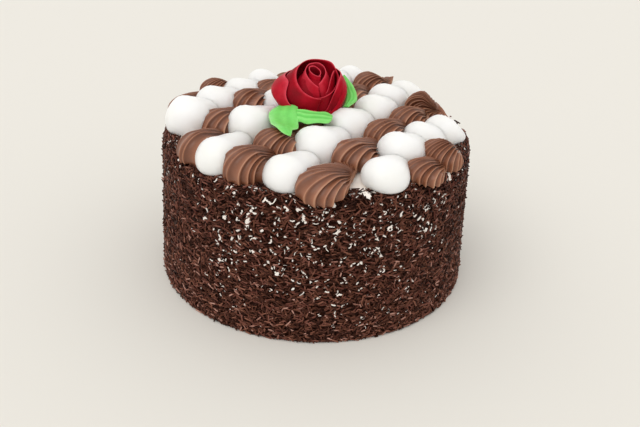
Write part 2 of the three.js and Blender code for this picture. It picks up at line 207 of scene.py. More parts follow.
# Shells that differ a little from their row: how far they stand aside in plan, then the share of
# the usual radius and height
SHELL_TRIMS = {
    "a1": (-2.5, 0, 1, 0.82), "a2": (2, 0, 1, 0.82),
    "b1": (0, 0, 1, 1.15), "b3": (0, 0, 1, 0.82), "b4": (0, 0, 1, 0.85),
    "c2": (-2.5, 0, 1.04, 1), "c3": (2, 0, 1.06, 1.14), "c4": (2, 0, 1, 0.86), "c5": (3, 0, 1, 0.6),
    "d1": (1, 0, 0.92, 0.98), "d2": (0.5, -0.5, 1.05, 1.12), "d6": (3, 0, 1, 0.85),
    "e3": (0, 1.5, 0.9, 0.72),
    "f1": (0, 0, 0.94, 0.94), "f2": (-1.5, -2, 1.12, 1.08), "f3": (-1.2, -1, 1.08, 1.02),
    "f4": (2, -1.5, 1.05, 1), "f5": (-2.5, -1, 1.06, 1), "f6": (1, 0, 1, 0.78),
    "g1": (0, 0, 1, 0.78), "g2": (0, 0, 1, 0.9), "g3": (3, 0, 0.96, 0.97),
    "g4": (3.5, -1, 0.9, 0.9), "g5": (2, 0, 0.92, 1),
    "h1": (0.4, 0.6, 0.96, 0.86), "h2": (0, -1, 1.08, 1.06),
    "h3": (0, 0, 1, 0.9), "h4": (0, -2, 1.06, 0.92),
    "i1": (-0.4, 1.6, 0.97, 0.8),
}

# Rose: heights are over the rim of the cake, and angles are in degrees in plan
ROSE_CENTRE = (-6.0, 3.0)
STUMP_PROFILE = [(14, 9), (15, 18), (12, 28), (7, 36)]
STUMP_COLUMNS = 48
STUMP_TONE = 0.25

# Section of a petal: shares of its height, turns over its rim, and its thickness
PETAL_CLIMB = np.concatenate([np.linspace(0, 0.8, 9), [0.87, 0.93, 0.97, 1.0]])
PETAL_RIM_TURNS = np.linspace(0, math.pi, 7)[1:-1]
PETAL_LEAST_COLUMNS = 25
PETAL_COLUMNS_PER_DEGREE = 0.5
PETAL_ROOT_THICKNESS = 2.6
PETAL_RIM_THICKNESS = 0.6
PETAL_END_THINNED = 0.6
PETAL_END_POWER = 10

# Forms of the petals: swirl, curl of the rim, the rise of bows and bellies, and an uneven waver
PETAL_SWIRL = 0.7
PETAL_CURL = 0.6
PETAL_CURL_POWER = 10
BOW_RISE = 1.9
BOW_LEFT_AT = math.radians(178)
BOW_FRONT_AT = math.radians(272)
BELLY_RISE = 1.6
BELLY_ENDS = 4
WAVER_RADIUS = 3
WAVER_LENGTH = 2.4
WAVER_FULL_RADIUS = 14
WAVER_RIM = 0.3
WAVER_SIDE = 0.25

# Painted light on the petals: lighter upwards as light falls from above, a painted highlight along the rim,
# painted shade inside the bud, and an uneven waver of tone
PETAL_LIGHT_RISE = 0.8
PETAL_TONE_WAVER = 0.1
PETAL_EDGE_FROM = 0.95
PETAL_EDGE_REACH = 0.05
PETAL_EDGE_POWER = 1.5
PETAL_RIM_HIGHLIGHT = 0.55
PETAL_INSIDE_TURN = 3
PETAL_INSIDE_TOP = 0.98

# Wound petals: radius and axis of their rim and root, and how they fall away from their peak; their tones
# are the range of their painted light, and inside darkens the bud's inner face as painted shade
WOUND_PETALS = [
    {"azimuth": 135, "span": 200, "rim": 3.4, "rim_at": (3.2, -0.6), "root": 5.0, "root_at": (3.6, -0.4),
     "foot": 27, "peak": 42.8, "drop": 5.0, "swirl": 0.5, "tones": (0.25, 0.45), "inside": 0.2},
    {"azimuth": 100, "span": 184, "rim": 6.2, "rim_at": (4.0, -0.6), "root": 12.0, "root_at": (4.6, -0.4),
     "foot": 18, "peak": 44.0, "drop": 12.0, "sweep": 0.6, "swirl": 1.1, "bow": 1.6, "tones": (0.38, 0.54)},
    {"azimuth": -6, "span": 46, "rim": 10.4, "rim_at": (4.6, -0.4), "root": 12.8, "root_at": (4.6, -0.4),
     "foot": 18, "peak": 41, "drop": 13, "power": 3, "tones": (0.36, 0.56)},
]
# The cup's low tones are painted shade on its outer face, which looks forward and down
CUP_PETAL = {
    "azimuth": 95, "span": 187, "rim": 13.8, "rim_at": (5.0, -2.5), "root": 18.0, "root_at": (0.0, 1.0),
    "foot": 11, "peak": 44.3, "drop": 17.3, "power": 2.5,
    "bow": 3.4, "bow_left": 3.6, "bow_front": -3.0, "tones": (0.05, 0.26),
}

# Outer petals, which lie against the cup: how far their rim stands off it, and their belly further; their
# tones are painted light, lighter on the petal lit from the left
OUTER_FIELDS = ("azimuth", "span", "foot", "peak", "drop", "power", "stand", "bulge", "tones")
OUTER_PETALS = [
    (150, 82, 11, 35.2, 14.5, 8, 1.2, 5.4, (0.28, 0.47)),
    (40, 98, 11, 39.5, 21.5, 12, 1.3, 4.2, (0.1, 0.44)),
    (40, 90, 11, 38, 20.5, 8, 2.6, 4.4, (0.16, 0.5)),
    (95, 62, 11, 27, 9, 3, 3.2, 3.5, (0.1, 0.4)),
    (262, 42, 11, 19.5, 4, 2, 1.4, 1.5, (0.06, 0.34)),
]

# Leaves: their right and left edges from root to tip, over the cake's centre and rim
LEAF_CELLS = (56, 26)
LEAF_TUCK = 0.12
LEAF_THICKNESS = 1.6
LEAF_KEEL = 2.2
LEAF_BELLY = 1.2
LEAF_RIB_COUNT = 3
LEAF_RIB_RELIEF = 0.3
LEAF_RUFFLES = 14
LEAF_SIDE_THINNED = 0.85
LEAF_TIP_THINNED = 0.5
LEAF_THINNEST = 0.05
LEAF_REST = 0.6
LEAF_DRAPE = 1.2
LEAF_EVENED = 30
# Painted light on the leaves: lighter on the ribs' crests and darker between them, and a painted highlight
# along the edges
LEAF_TONE = 0.46
LEAF_RIB_PAINTED_LIGHT = 0.2
LEAF_EDGE_HIGHLIGHT = 0.5
LEAF_EDGE_POWER = 8
LEAVES = [
    {
        "name": "front", "ribs": 0.3, "ruffle": 0.15,
        "right": [(-27.5, -7.5, 17.5), (-31.5, -16, 17.5), (-32, -24, 17.8),
                  (-29, -42, 19.2), (-22.6, -55, 20), (-17, -56.6, 17)],
        "left": [(-13.2, -17.5, 20.3), (-12.6, -24, 19.3), (-12.2, -31, 17),
                 (-12, -38.5, 15.2), (-15, -47, 18), (-15.8, -56.2, 17)],
    },
    {
        "name": "right", "ribs": 1.1, "ruffle": 0.3,
        "right": [(-10.8, -30, 17), (-7.7, -31.5, 16.5), (-3.2, -31, 16.8),
                  (2, -29.8, 16.4), (7.4, -29, 16.4), (9.8, -25.5, 17)],
        "left": [(-11, -17.6, 20.3), (-6.2, -18.8, 20.5), (0, -17.8, 19.4),
                 (5.6, -16.4, 18.6), (9, -17.8, 18), (10.2, -20.5, 17.4)],
    },
    {
        "name": "back", "ribs": 0.7, "ruffle": 0.5,
        "right": [(22.5, 0.5, 17.5), (26.3, 5, 19), (26.5, 9, 22),
                  (24.1, 11, 27), (20.6, 16.3, 30), (17.1, 17.8, 33)],
        "left": [(17.5, -1.5, 17), (18.4, 5, 19.5), (18.2, 9.5, 23),
                 (17.2, 12.8, 27), (16.6, 15.4, 30.4), (16.3, 17.4, 32.8)],
    },
]

# Looks of the surfaces. Tones: colours by the tones of a mesh. Mottle: scale and detail of a noise,
# and colours by its values. Roughness: scale of a noise, least and most. Grain: scale and detail of
# a noise, strength and depth of its bump. Soft: how much light spreads under the surface and how
# far, and the shares of red, green and blue.
NOISE_RANGE = (0.3, 0.7)
ROUGHNESS_DETAIL = 2
MOTTLE_SHARE = 0.8
WARM_SPREAD = (1.0, 0.8, 0.55)
LOOKS = {
    "white_buttercream": {
        "specular": 0.4,
        "mottle": (60, 3, [(0.3, (249, 247, 240)), (0.7, (253, 252, 247))]),
        "roughness": (90, 0.3, 0.44), "grain": (240, 4, 0.12, 0.0006),
        "soft": (0.9, 0.013, (1.0, 0.98, 0.95)),
    },
    "thin_icing": {
        "specular": 0.25,
        "mottle": (140, 3, [(0.3, (249, 239, 230)), (0.7, (255, 249, 242))]),
        "roughness": (160, 0.4, 0.6), "grain": (600, 3, 0.25, 0.0005),
    },
    "chocolate_buttercream": {
        "specular": 0.42,
        # Tones of the chocolate run from painted shade in the grooves to painted highlights on the crests
        "tones": [(0.0, (80, 42, 27)), (0.5, (162, 107, 79)), (1.0, (222, 177, 146))],
        "mottle": (110, 4, [(0.3, (222, 212, 205)), (0.7, (255, 255, 255))]),
        "roughness": (150, 0.26, 0.42), "grain": (420, 4, 0.3, 0.0006),
        "soft": (0.06, 0.0012, WARM_SPREAD),
    },
    # Under the sprinkles: dark as deeper sprinkles are, and darker still as painted shade in the gaps
    # between the sprinkles
    "packed_sprinkles_painted_shade": {
        "specular": 0.05,
        "mottle": (700, 3, [(0.35, (26, 9, 4)), (0.7, (50, 24, 15))]),
        "roughness": (700, 0.5, 0.8), "grain": (700, 3, 0.8, 0.0008),
    },
    "red_buttercream": {
        "specular": 0.07,
        # Tones of the rose run from painted shade low on the petals to painted highlights on the rims
        "tones": [(0.0, (88, 1, 11)), (0.42, (180, 12, 36)), (1.0, (224, 70, 88))],
        "mottle": (260, 4, [(0.3, (225, 210, 210)), (0.7, (255, 255, 255))]),
        "roughness": (180, 0.32, 0.5), "grain": (520, 3, 0.2, 0.0005),
        "soft": (0.06, 0.001, WARM_SPREAD),
    },
    "green_buttercream": {
        "specular": 0.3,
        # Tones of the leaves run from painted shade between the ribs to painted highlights on the edges
        "tones": [(0.0, (82, 182, 70)), (0.5, (125, 224, 109)), (1.0, (168, 240, 147))],
        "mottle": (300, 3, [(0.3, (232, 240, 228)), (0.7, (255, 255, 255))]),
        "roughness": (200, 0.3, 0.5), "grain": (500, 3, 0.2, 0.0005),
        "soft": (0.1, 0.0015, WARM_SPREAD),
    },
}
SPRINKLE_LOOK = {"specular": 0.08, "roughness": (900, 0.2, 0.42), "grain": (1500, 2, 0.3, 0.0002)}

# Camera, in front of the cake and above it
CAMERA_LENS = 50.625
CAMERA_SENSOR = 36
CAMERA_NEAREST = 0.01
CAMERA_TARGET = np.array([4.628, 0.0, 35.45])
CAMERA_DISTANCE = 656.26
CAMERA_ELEVATION = math.radians(28.85)
CAMERA_ROLL = math.radians(-2.53)

# Even light from all round, a broad soft light from the front left, and a pale floor, in metres
SKY_COLOUR = (1.0, 0.99, 0.97, 1.0)
SKY_STRENGTH = 0.87
KEY_COLOUR = (1.0, 0.985, 0.96)
KEY_STRENGTH = 0.8
KEY_SPREAD = math.radians(50)
KEY_AIM = Vector((0.35, 0.55, -1.0))
FLOOR_COLOUR = (231, 228, 221)
FLOOR_SPECULAR = 0.2
FLOOR_ROUGHNESS = 0.8
FLOOR_REACH = 4.0
FLOOR_HEIGHT = -0.0003


# Shared helpers


def mix(start, end, share):
    return start + (end - start) * share


def full_turn(count):
    """Bearings spaced evenly round a circle"""
    return np.linspace(0, 2 * math.pi, count, endpoint=False)


def turn_between(bearing, other):
    """Angle from another bearing to this one, half a turn at most either way"""
    return (bearing - other + math.pi) % (2 * math.pi) - math.pi


def ripples(points, seed, wavelength):
    """Smooth uneven values of about -1 to 1 at points in space"""
    random = np.random.default_rng(seed)
    total = np.zeros(points.shape[:-1])
    for _ in range(RIPPLE_WAVES):
        direction = random.normal(size=3)
        direction *= 2 * math.pi / wavelength / np.linalg.norm(direction)
        total += np.sin(points @ direction + random.uniform(0, 2 * math.pi))
    return total / math.sqrt(RIPPLE_WAVES)


def loop_faces(loops, size, offset=0):
    """Quads that join each closed loop of points to the next"""
    loop, place = np.meshgrid(np.arange(loops - 1), np.arange(size), indexing="ij")
    after = (place + 1) % size
    corners = [loop * size + place, loop * size + after]
    corners += [(loop + 1) * size + after, (loop + 1) * size + place]
    return (np.stack(corners, axis=-1).reshape(-1, 4) + offset).tolist()


def capped_faces(loops, size):
    """Quads that join closed loops of points, then one face over the first loop and one over the last"""
    first = list(range(size))[::-1]
    last = list(range((loops - 1) * size, loops * size))
    return loop_faces(loops, size) + [first, last]


def ring_points(profile, count):
    """Points round level circles, at each radius and height of a profile"""
    cosine, sine = np.cos(full_turn(count)), np.sin(full_turn(count))
    rings = []
    for radius, height in profile:
        rings.append(np.stack([radius * cosine, radius * sine, np.full(count, float(height))], -1))
    return np.concatenate(rings)


def make_piece(name, points, faces, materials, nodes, tones=None):
    """A smooth mesh that rides on the cake and stands for some of its solids"""
    mesh = bpy.data.meshes.new(name)
    mesh.from_pydata((np.asarray(points, float) * MILLIMETRE).tolist(), [], faces)
    face_outwards(mesh)
    mesh.polygons.foreach_set("use_smooth", np.ones(len(mesh.polygons), bool))
    if tones is not None:
        attribute = mesh.attributes.new("tone", "FLOAT", "POINT")
        attribute.data.foreach_set("value", np.asarray(tones, np.float32).ravel())
    for material in materials:
        mesh.materials.append(material)
    piece = bpy.data.objects.new(name, mesh)
    bpy.context.scene.collection.objects.link(piece)
    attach(piece, "root")
    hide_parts(*nodes)
    return piece


def face_outwards(mesh):
    working = bmesh.new()
    working.from_mesh(mesh)
    bmesh.ops.recalc_face_normals(working, faces=working.faces)
    working.to_mesh(mesh)
    working.free()


# Materials


def linear(red, green, blue):
    """A colour given in steps of 0 to 255, as the shader takes it"""
    channels = [channel / 255 for channel in (red, green, blue)]
    return [((c + 0.055) / 1.055) ** 2.4 if c > 0.04045 else c / 12.92 for c in channels] + [1.0]


def new_material(name, specular):
    material = bpy.data.materials.new(name)
    material.use_nodes = True
    shader = material.node_tree.nodes["Principled BSDF"]
    shader.inputs["Specular IOR Level"].default_value = specular
    return material, shader


def noise_factor(material, scale, detail):
    """A noise texture in the cake's own space, with features of 1 / scale metres"""
    tree = material.node_tree
    place = tree.nodes.new("ShaderNodeTexCoord")
    noise = tree.nodes.new("ShaderNodeTexNoise")
    noise.inputs["Scale"].default_value = scale
    noise.inputs["Detail"].default_value = detail
    tree.links.new(place.outputs["Object"], noise.inputs["Vector"])
    return noise.outputs["Fac"]


def ramp_colour(material, factor, stops):
    ramp = material.node_tree.nodes.new("ShaderNodeValToRGB")
    elements = ramp.color_ramp.elements
    while len(elements) < len(stops):
        elements.new(0.5)
    for element, (position, colour) in zip(elements, stops):
        element.position = position
        element.color = linear(*colour)
    material.node_tree.links.new(factor, ramp.inputs["Fac"])
    return ramp.outputs["Color"]


def multiply_colours(material, first, second):
    blend = material.node_tree.nodes.new("ShaderNodeMix")
    blend.data_type = "RGBA"
    blend.blend_type = "MULTIPLY"
    blend.inputs["Factor"].default_value = MOTTLE_SHARE
    material.node_tree.links.new(first, blend.inputs["A"])
    material.node_tree.links.new(second, blend.inputs["B"])
    return blend.outputs["Result"]


def add_bump(material, shader, scale, detail, strength, distance):
    bump = material.node_tree.nodes.new("ShaderNodeBump")
    bump.inputs["Strength"].default_value = strength
    bump.inputs["Distance"].default_value = distance
    material.node_tree.links.new(noise_factor(material, scale, detail), bump.inputs["Height"])
    material.node_tree.links.new(bump.outputs["Normal"], shader.inputs["Normal"])


def vary_roughness(material, shader, scale, least, most):
    """Roughness that changes from place to place, as the surface dries unevenly"""
    tree = material.node_tree
    spread = tree.nodes.new("ShaderNodeMapRange")
    spread.inputs["From Min"].default_value = NOISE_RANGE[0]
    spread.inputs["From Max"].default_value = NOISE_RANGE[1]
    spread.inputs["To Min"].default_value = least
    spread.inputs["To Max"].default_value = most
    tree.links.new(noise_factor(material, scale, ROUGHNESS_DETAIL), spread.inputs["Value"])
    tree.links.new(spread.outputs["Result"], shader.inputs["Roughness"])


def soften(shader, weight, depth, spread):
    """Lets light spread a little way under the surface, as it does in buttercream"""
    shader.inputs["Subsurface Weight"].default_value = weight
    shader.inputs["Subsurface Radius"].default_value = spread
    shader.inputs["Subsurface Scale"].default_value = depth


def surface_colour(material, look):
    """Colour by the tones of the mesh, by a mottle, or by both multiplied"""
    colours = []
    if "tones" in look:
        tone = material.node_tree.nodes.new("ShaderNodeAttribute")
        tone.attribute_name = "tone"
        colours.append(ramp_colour(material, tone.outputs["Fac"], look["tones"]))
    if "mottle" in look:
        scale, detail, stops = look["mottle"]
        colours.append(ramp_colour(material, noise_factor(material, scale, detail), stops))
    return multiply_colours(material, *colours) if len(colours) > 1 else colours[0]


def surface(name, look):
    material, shader = new_material(name, look["specular"])
    material.node_tree.links.new(surface_colour(material, look), shader.inputs["Base Color"])
    vary_roughness(material, shader, *look["roughness"])
    add_bump(material, shader, *look["grain"])
    if "soft" in look:
        soften(shader, *look["soft"])
    return material


def sprinkle_chocolate(kind):
    tones = list(zip(SPRINKLE_TONES, kind["colours"]))
    return surface(f"{kind['name']}_chocolate", {**SPRINKLE_LOOK, "tones": tones})


# Side of the cake


def wall_place(distance):
    """Radius, height and outward slope of the icing, at distances up its profile from the base"""
    turn = np.clip((distance - WALL_HEIGHT) / RIM_ROUND, 0, math.pi / 2)
    inward = np.clip(distance - WALL_HEIGHT - RIM_ARC, 0, None)
    climb = np.clip(distance, None, WALL_HEIGHT)
    radius = mix(ICING_BASE_RADIUS, ICING_TOP_RADIUS, climb / WALL_HEIGHT)
    radius = radius - RIM_ROUND * (1 - np.cos(turn)) - inward
    height = climb + RIM_ROUND * np.sin(turn)
    return radius, height, turn


# The sides take the dark colour of packed sprinkles and painted shade between them; the top and the bare
# rim take thin icing
def make_icing(dark, white):
    radius, height, _ = wall_place(ICING_ROWS)
    points = ring_points(zip(radius, height), ICING_COLUMNS)
    faces = capped_faces(len(ICING_ROWS), ICING_COLUMNS)
    piece = make_piece("icing", points, faces, [dark, white], ["iced_cake"])
    *sides, underside, top = piece.data.polygons
    underside.use_smooth = False
    top.use_smooth = False
    top.material_index = 1
    bare = np.maximum(bare_rim_depth(full_turn(ICING_COLUMNS)), WHITE_RIM_DEPTH)
    for index, side in enumerate(sides):
        row, column = divmod(index, ICING_COLUMNS)
        if ICING_ROWS[row] > SPRINKLED_LENGTH - bare[column]:
            side.material_index = 1


def bare_rim_depth(around):
    """How far down from the rim the icing is bare, at bearings round the cake"""
    turn = turn_between(around, BARE_RIM_AT)
    return BARE_RIM_DEPTH * np.clip(2 - 2 * np.abs(turn) / BARE_RIM_REACH, 0, 1)


def sprinkle_plan(random):
    """Place, size and lie of every sprinkle, in jittered rows"""
    rows = round(SPRINKLED_LENGTH / SPRINKLE_ROW_PITCH)
    columns = round(2 * math.pi * ICING_BASE_RADIUS / SPRINKLE_COLUMN_PITCH)
    row, column = np.meshgrid(np.arange(rows), np.arange(columns), indexing="ij")
    count = row.size
    up = (row.ravel() + random.uniform(0, 1, count)) * SPRINKLED_LENGTH / rows
    around = (column.ravel() + random.uniform(0, 1, count)) * 2 * math.pi / columns
    anyhow = random.uniform(0, 1, count) < SPRINKLE_ANYHOW_SHARE
    level = random.normal(0, SPRINKLE_LEVEL_SPREAD, count)
    tilt = np.where(anyhow, random.uniform(-math.pi / 2, math.pi / 2, count), level)
    stray = random.uniform(0, 1, count) < SPRINKLE_STRAY_SHARE
    stray_pitch = random.uniform(-1, 1, count) * SPRINKLE_STRAY_PITCH
    pitch = np.where(stray, stray_pitch, random.normal(0, SPRINKLE_PITCH_SPREAD, count))
    shares = [kind["share"] for kind in SPRINKLE_KINDS]
    return {
        "up": up,
        "around": around,
        "tilt": tilt,
        "pitch": pitch,
        "length": random.uniform(*SPRINKLE_LENGTHS, count),
        "radius": random.uniform(*SPRINKLE_RADII, count),
        "lift": random.uniform(0, 1, count),
        "tone": random.uniform(0, 1, count),
        "luck": random.uniform(0, 1, count),
        "kind": random.choice(len(shares), count, p=shares),
    }


def bare_spots(random):
    """Places round and up the side where the icing shows, as short bent chains of small gaps"""
    count = BARE_SPOT_COUNT
    around = random.uniform(0, 2 * math.pi, count)
    up = RIM_HEIGHT * random.uniform(*BARE_SPOT_HEIGHTS, count)
    place = np.stack([ICING_BASE_RADIUS * np.cos(around), ICING_BASE_RADIUS * np.sin(around), up], -1)
    thin = BARE_PATCH_WEIGHT * ripples(place, BARE_PATCH_SEED, BARE_PATCH_LENGTH)
    thin = thin + random.normal(0, BARE_CHANCE_WEIGHT, count)
    front = np.cos(2 * (around - BARE_MOST_AT))
    thin += BARE_HEIGHT_WEIGHT * (up / RIM_HEIGHT - 0.5) + BARE_FRONT_WEIGHT * front
    width = mix(*BARE_SPOT_RADII, random.uniform(0, 1, count) ** BARE_SPOTS_SMALL)
    wider = np.clip(BARE_WIDER_THIN[0] + BARE_WIDER_THIN[1] * thin, *BARE_WIDER_LIMITS)
    width *= mix(*BARE_WIDER_UP, up / RIM_HEIGHT) * wider
    more_links = random.choice(len(BARE_LINK_SHARES), count, p=BARE_LINK_SHARES)
    course = random.uniform(0, 2 * math.pi, count)
    bend = random.normal(0, BARE_LINK_BEND, count)
    chains = []
    for link in range(len(BARE_LINK_SHARES)):
        kept = (thin > BARE_FROM) & (more_links >= link)
        chains.append(np.stack([around[kept], up[kept], width[kept], course[kept]]))
        around = around + BARE_LINK * np.cos(course) / ICING_TOP_RADIUS
        up = np.clip(up + BARE_LINK * np.sin(course), BARE_LINK_LOWEST, RIM_HEIGHT)
        course = course + bend
        width = width * BARE_LINK_NARROWS
    return np.concatenate(chains + [bare_marks()], axis=1)


def bare_marks():
    """The larger bare marks as chains of gaps"""
    chains = []
    for first, last, width in BARE_MARKS:
        start, end = (np.array([math.radians(bearing), up]) for bearing, up in (first, last))
        across = (end[0] - start[0]) * ICING_TOP_RADIUS
        above = end[1] - start[1]
        count = 2 + round(math.hypot(across, above) / width)
        for share in np.linspace(0, 1, count):
            chains.append([*mix(start, end, share), width, math.atan2(above, across)])
    return np.array(chains).T


def off_bare_spots(plan, spots):
    """Which sprinkles stay: a few on the bare rim, and some of those over a spot, so its edge is ragged"""
    below = plan["up"] < SPRINKLED_LENGTH - bare_rim_depth(plan["around"])
    keep = below | (plan["luck"] < BARE_RIM_STRAYS)
    cosine, sine = np.cos(plan["tilt"]), np.sin(plan["tilt"])
    half = plan["length"] / 2
    for spot_around, spot_up, spot_width, _ in zip(*spots):
        across = turn_between(plan["around"], spot_around) * ICING_TOP_RADIUS
        above = plan["up"] - spot_up
        along = np.clip(across * cosine + above * sine, -half, half)
        gap = np.hypot(across - along * cosine, above - along * sine)
        over = gap < spot_width * BARE_COVER[0] + plan["radius"] * BARE_COVER[1]
        keep &= ~over | (plan["luck"] > BARE_COVERED_LUCK)
    return keep


def sprinkle_points(plan):
    """Twelve points for each sprinkle: a tip, two rings and a tip"""
    radius, height, turn = wall_place(plan["up"])
    cosine, sine = np.cos(plan["around"]), np.sin(plan["around"])
    keys = ("tilt", "pitch", "length", "radius", "lift")
    tilt, pitch, length, thickness, lift = (plan[key][:, None] for key in keys)
    level = np.stack([-sine, cosine, np.zeros_like(cosine)], -1)
    outward = np.stack([np.cos(turn) * cosine, np.cos(turn) * sine, np.sin(turn)], -1)
    along = level * np.cos(tilt) + np.cross(outward, level) * np.sin(tilt)
    along = along * np.cos(pitch) + outward * np.sin(pitch)
    side = np.cross(outward, along)
    side /= np.linalg.norm(side, axis=1)[:, None]
    face = np.cross(along, side)
    lift = thickness * (SPRINKLE_LIFT * lift) + SPRINKLE_PITCH_LIFT * length * np.abs(np.sin(pitch))
    centre = np.stack([radius * cosine, radius * sine, height], -1) + outward * lift
    half = length / 2
    rings = []
    for end in (-1, 1):
        middle = centre + along * (end * (half - SPRINKLE_END))
        for bearing in full_turn(SPRINKLE_SIDES):
            spoke = side * math.cos(bearing) + face * math.sin(bearing)
            rings.append(middle + spoke * thickness)
    points = np.stack([centre - along * half, *rings, centre + along * half], axis=1)
    lowest = points[:, :, 2].min(axis=1)
    points[:, :, 2] += np.clip(SPRINKLE_LOWEST - lowest, 0, None)[:, None]
    return points


def sprinkle_faces(count):
    """Faces of all sprinkles: first the triangles at their tips, then the quads round them"""
    sides = SPRINKLE_SIDES
    last = 2 * sides + 1
    corner = np.arange(sides)
    after = (corner + 1) % sides
    first_end = np.stack([0 * corner, 1 + after, 1 + corner], -1)
    last_end = np.stack([0 * corner + last, 1 + sides + corner, 1 + sides + after], -1)
    ends = np.stack([first_end, last_end], axis=1).reshape(-1, 3)
    around = np.stack([1 + corner, 1 + after, 1 + sides + after, 1 + sides + corner], -1)
    step = (np.arange(count) * (last + 1))[:, None, None]
    return (ends + step).reshape(-1, 3).tolist() + (around + step).reshape(-1, 4).tolist()


def make_sprinkles(plan):
    points = sprinkle_points(plan)
    tones = np.clip(plan["tone"] + LOW_SPRINKLES_LIGHTER * (0.5 - plan["up"] / RIM_HEIGHT), 0, 1)
    for number, kind in enumerate(SPRINKLE_KINDS):
        chosen = plan["kind"] == number
        own = points[chosen]
        make_piece(
            f"{kind['name']}_sprinkles",
            own.reshape(-1, 3),
            sprinkle_faces(len(own)),
            [sprinkle_chocolate(kind)],
            ["iced_cake"],
            np.repeat(tones[chosen], own.shape[1]),
        )


def wall_points(around, up, proud):
    """Points standing proud of the icing at places round the cake and up its profile"""
    radius, height, turn = wall_place(up)
    reach = radius + proud * np.cos(turn)
    return np.stack([reach * np.cos(around), reach * np.sin(around), height + proud * np.sin(turn)], -1)


def make_bare_icing(spots, random, white):
    """Slivers of bare icing between the sprinkles, each along its course"""
    around, up, width, course = spots[:, :, None]
    jitter = random.uniform(*BARE_CORNER_JITTER, (len(width), BARE_CORNERS))
    bearing = full_turn(BARE_CORNERS)
    ahead = (width + BARE_SLIVER[0]) * jitter * np.cos(bearing)
    aside = (width + BARE_SLIVER[1]) * jitter * np.sin(bearing)
    turn = around + (ahead * np.cos(course) - aside * np.sin(course)) / ICING_TOP_RADIUS
    above = up + ahead * np.sin(course) + aside * np.cos(course)
    edges = wall_points(turn, np.maximum(above, BARE_LOWEST), BARE_PROUD[1])
    points = np.concatenate([wall_points(around, up, BARE_PROUD[0]), edges], axis=1).reshape(-1, 3)
    corner = np.arange(BARE_CORNERS)
    fan = np.stack([0 * corner, 1 + corner, 1 + (corner + 1) % BARE_CORNERS], -1)
    start = np.arange(len(width))[:, None, None] * (BARE_CORNERS + 1)
    faces = (fan + start).reshape(-1, 3).tolist()
    make_piece("bare_icing", points, faces, [white], ["iced_cake"])


# Piped shells


def plan_shell(row, row_index, index):
    """Size and place of a head in its row, along and across the heading"""
    share = index / (row["heads"] - 1)
    eased = share * (1 + row["ease"]) - row["ease"] * share * share
    white = row_index % 2 == 1
    kind = WHITE_SHELL if white else CHOCOLATE_SHELL
    size = mix(*row["sizes"], share)
    return {
        **kind,
        "name": f"{row['name']}{index + 1}",
        "white": white,
        "radius": kind["radius"] * size,
        "height": kind["height"] * size,
        "along": mix(row["start"][0], row["end"][0], eased),
        "aside": mix(row["start"][1], row["end"][1], eased) + 4 * row["bow"] * eased * (1 - eased),
    }


def plan_shells():
    """Every shell, row by row from the left, each pointing its tail at the next head of its row"""
    planned = []
    for row_index, values in enumerate(ROWS):
        row = dict(zip(ROW_FIELDS, values))
        shells = [plan_shell(row, row_index, index) for index in range(row["heads"])]
        for index, shell in enumerate(shells):
            last = index + 1 == len(shells)
            ahead = shell if last else shells[index + 1]
            behind = shells[index - 1] if last else shell
            turn = math.atan2(behind["aside"] - ahead["aside"], ahead["along"] - behind["along"])
            pitch = math.hypot(ahead["along"] - shell["along"], ahead["aside"] - shell["aside"])
            shell["heading"] = ROW_HEADING + turn
            shell["tail"] = FREE_TAIL if last else pitch + shell["past"]
            shell["x"] = shell["along"] * math.cos(ROW_HEADING) + shell["aside"] * math.sin(ROW_HEADING)
            shell["y"] = shell["along"] * math.sin(ROW_HEADING) - shell["aside"] * math.cos(ROW_HEADING)
        planned += shells
    for shell in planned:
        trim_shell(shell)
    return planned


def trim_shell(shell):
    """Gives a shell what sets it apart from its row"""
    turn, tail, tip = TURNED_TAILS.get(shell["name"], (0, shell["tail"], 0))
    shell["heading"] += math.radians(turn)
    shell["tail"] = tail
    shell["raise"] = tip
    x, y, radius, height = SHELL_TRIMS.get(shell["name"], (0, 0, 1, 1))
    shell["x"] += x
    shell["y"] += y
    shell["radius"] *= radius
    shell["height"] *= height


def half_width(shell, x):
    """Half the width of a shell's plan at distances along it: a round head and a straight taper"""
    radius, tail = shell["radius"], shell["tail"]
    head = np.sqrt(np.clip(radius * radius - x * x, 0, None))
    taper = (tail - x) * radius / math.sqrt(tail * tail - radius * radius)
    return np.where(x < radius * radius / tail, head, taper)


def dome_height(shell, x, y):
    """Height of a shell over its foot at points of its plan"""
    forward = np.clip(x / shell["tail"], 0, 1)
    back = np.clip(-x / shell["radius"], 0, 1)
    crest = np.where(x > 0, 1 - forward ** shell["fall"], np.sqrt(1 - back * back))
    side = np.clip(np.abs(y) / np.maximum(half_width(shell, x), 1e-6), 0, 1)
    raised = shell["raise"] * np.clip(mix(TIP_RISE_START, 1, forward), 0, 1) ** TIP_RISE_POWER
    return shell["height"] * mix(crest * np.sqrt(1 - side * side), 1 - forward, EDGE_SHARE) + raised


def crest_profile(share, random):
    """Heights of 0 to 1 at shares of a full turn, steep right of each crest, and shares of grooves"""
    jitter = random.uniform(-CREST_JITTER, CREST_JITTER, SHELL_CRESTS + 1)
    jitter[-1] = jitter[0]
    places = (np.arange(SHELL_CRESTS + 1) + jitter) / SHELL_CRESTS
    share = (share - places[0]) % 1.0 + places[0]
    cell = np.clip(np.searchsorted(places, share, side="right") - 1, 0, SHELL_CRESTS - 1)
    within = np.clip((share - places[cell]) / (places[cell + 1] - places[cell]), 0, 1)
    depth = random.uniform(*GROOVE_DEPTHS, SHELL_CRESTS)[cell]
    return 1 - depth * np.sin(math.pi * within**GROOVE_LEAN), within


